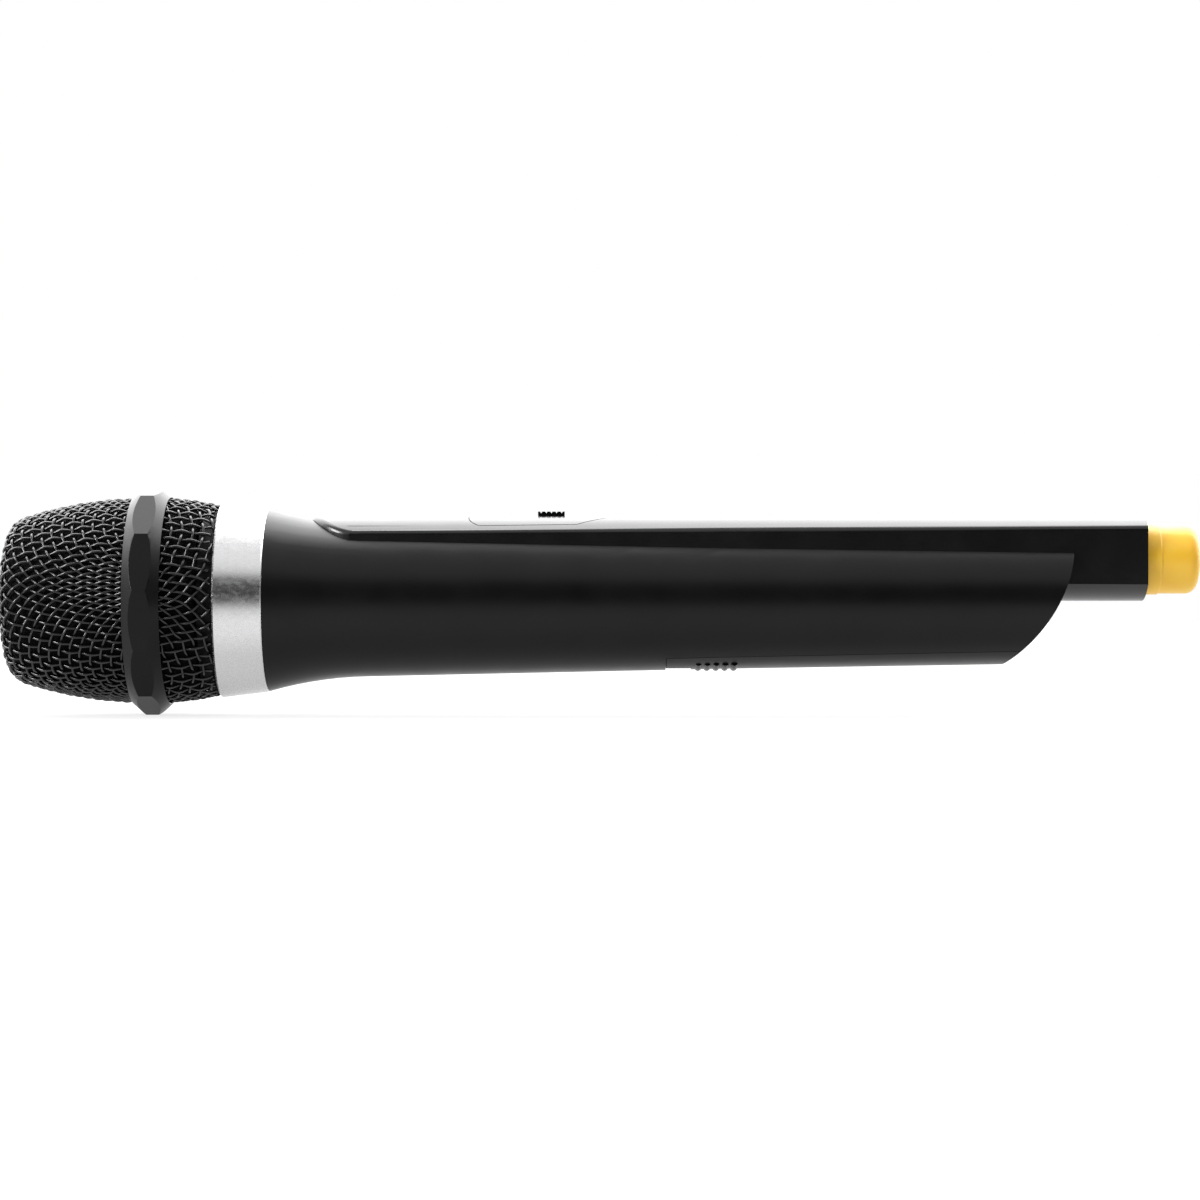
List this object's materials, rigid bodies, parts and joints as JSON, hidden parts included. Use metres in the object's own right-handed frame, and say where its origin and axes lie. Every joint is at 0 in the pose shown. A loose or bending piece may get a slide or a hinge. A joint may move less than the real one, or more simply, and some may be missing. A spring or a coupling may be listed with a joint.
{
  "type": "karaoke microphone",
  "caption": "Hand-held wireless karaoke microphone with a wire grille, anti-roll ring, silver collar, tapering handle, slide switch and a yellow antenna tip.",
  "frame": {"origin": "centre of the whole object's box, on the microphone's axis at mid-length", "axes": "+X along the microphone from the grille to the antenna tip, +Z towards the side with the switch, +Y to the left when looking from the grille with the switch up"},
  "size_m": [0.2686, 0.0514, 0.0514],
  "materials": {
    "wire_mesh": "black satin paint on woven steel wire",
    "foam": "open-cell black foam",
    "ring_plastic": "semi-gloss black",
    "neck_plastic": "matt black",
    "collar_silver": "satin, finely brushed",
    "handle_plastic": "satin black, fine texture",
    "module_plastic": "smooth black",
    "tip_yellow": "smooth warm yellow",
    "seal_rubber": "matt",
    "capsule_plastic": "matt",
    "film": "thin clear film",
    "copper": "enamelled copper wire",
    "magnet_nickel": "nickel plated",
    "steel": "plain",
    "board": "green solder mask",
    "chip": "moulded epoxy",
    "lead_skin": "smooth lead insulation",
    "battery_skin": "plain printed sleeve",
    "clear_plastic": "clear red"
  },
  "bodies": {
    "handle": {"handle_shell": "handle_plastic", "spine_cover": "module_plastic", "switch_plate": "module_plastic", "collar_ring": "collar_silver", "thread_insert": "neck_plastic", "capsule_holder": "neck_plastic", "capsule_mount": "seal_rubber", "capsule_housing": "capsule_plastic", "capsule_cap": "capsule_plastic", "diaphragm": "film", "voice_coil": "copper", "magnet_cup": "steel", "magnet": "magnet_nickel", "pole_piece": "steel", "capsule_leads": "lead_skin", "slide_switch": "steel", "light_pipe": "clear_plastic", "led_chip": "clear_plastic", "main_board": "board", "rf_shield": "steel", "rf_chip": "chip", "audio_chip": "chip", "crystal": "steel", "capacitor": "battery_skin", "chassis": "neck_plastic", "cover_screws": "steel", "battery": "battery_skin", "battery_spring": "steel", "battery_contact": "steel", "battery_leads": "lead_skin", "antenna_tip": "tip_yellow", "antenna_coil": "copper", "antenna_lead": "lead_skin"},
    "grille_seal": {"grille_gasket": "seal_rubber"},
    "grille": {"front_mesh": "wire_mesh", "front_foam": "foam", "rear_mesh": "wire_mesh", "rear_foam": "foam", "anti_roll_ring": "ring_plastic", "grille_neck": "neck_plastic"},
    "power_switch": {"switch_knob": "ring_plastic", "switch_actuator": "chip"},
    "battery_door": {"battery_cover": "handle_plastic"}
  },
  "joints": [
    {"name": "grille_travel", "type": "slide", "parent": "handle", "child": "grille_seal", "axis": [-1, 0, 0], "range_m": [0, 0.006]},
    {"name": "grille_turn", "type": "hinge", "parent": "grille_seal", "child": "grille", "pos_m": [-0.08, 0, 0], "axis": [-1, 0, 0], "range_deg": [0, 1440]},
    {"name": "switch_slide", "type": "slide", "parent": "handle", "child": "power_switch", "axis": [1, 0, 0], "range_m": [0, 0.0038]},
    {"name": "cover_slide", "type": "slide", "parent": "handle", "child": "battery_door", "axis": [1, 0, 0], "range_m": [0, 0.086]}
  ],
  "couplings": [
    {"joint": "grille_travel", "follows": "grille_turn", "m_per_rad": 0.0002387}
  ]
}
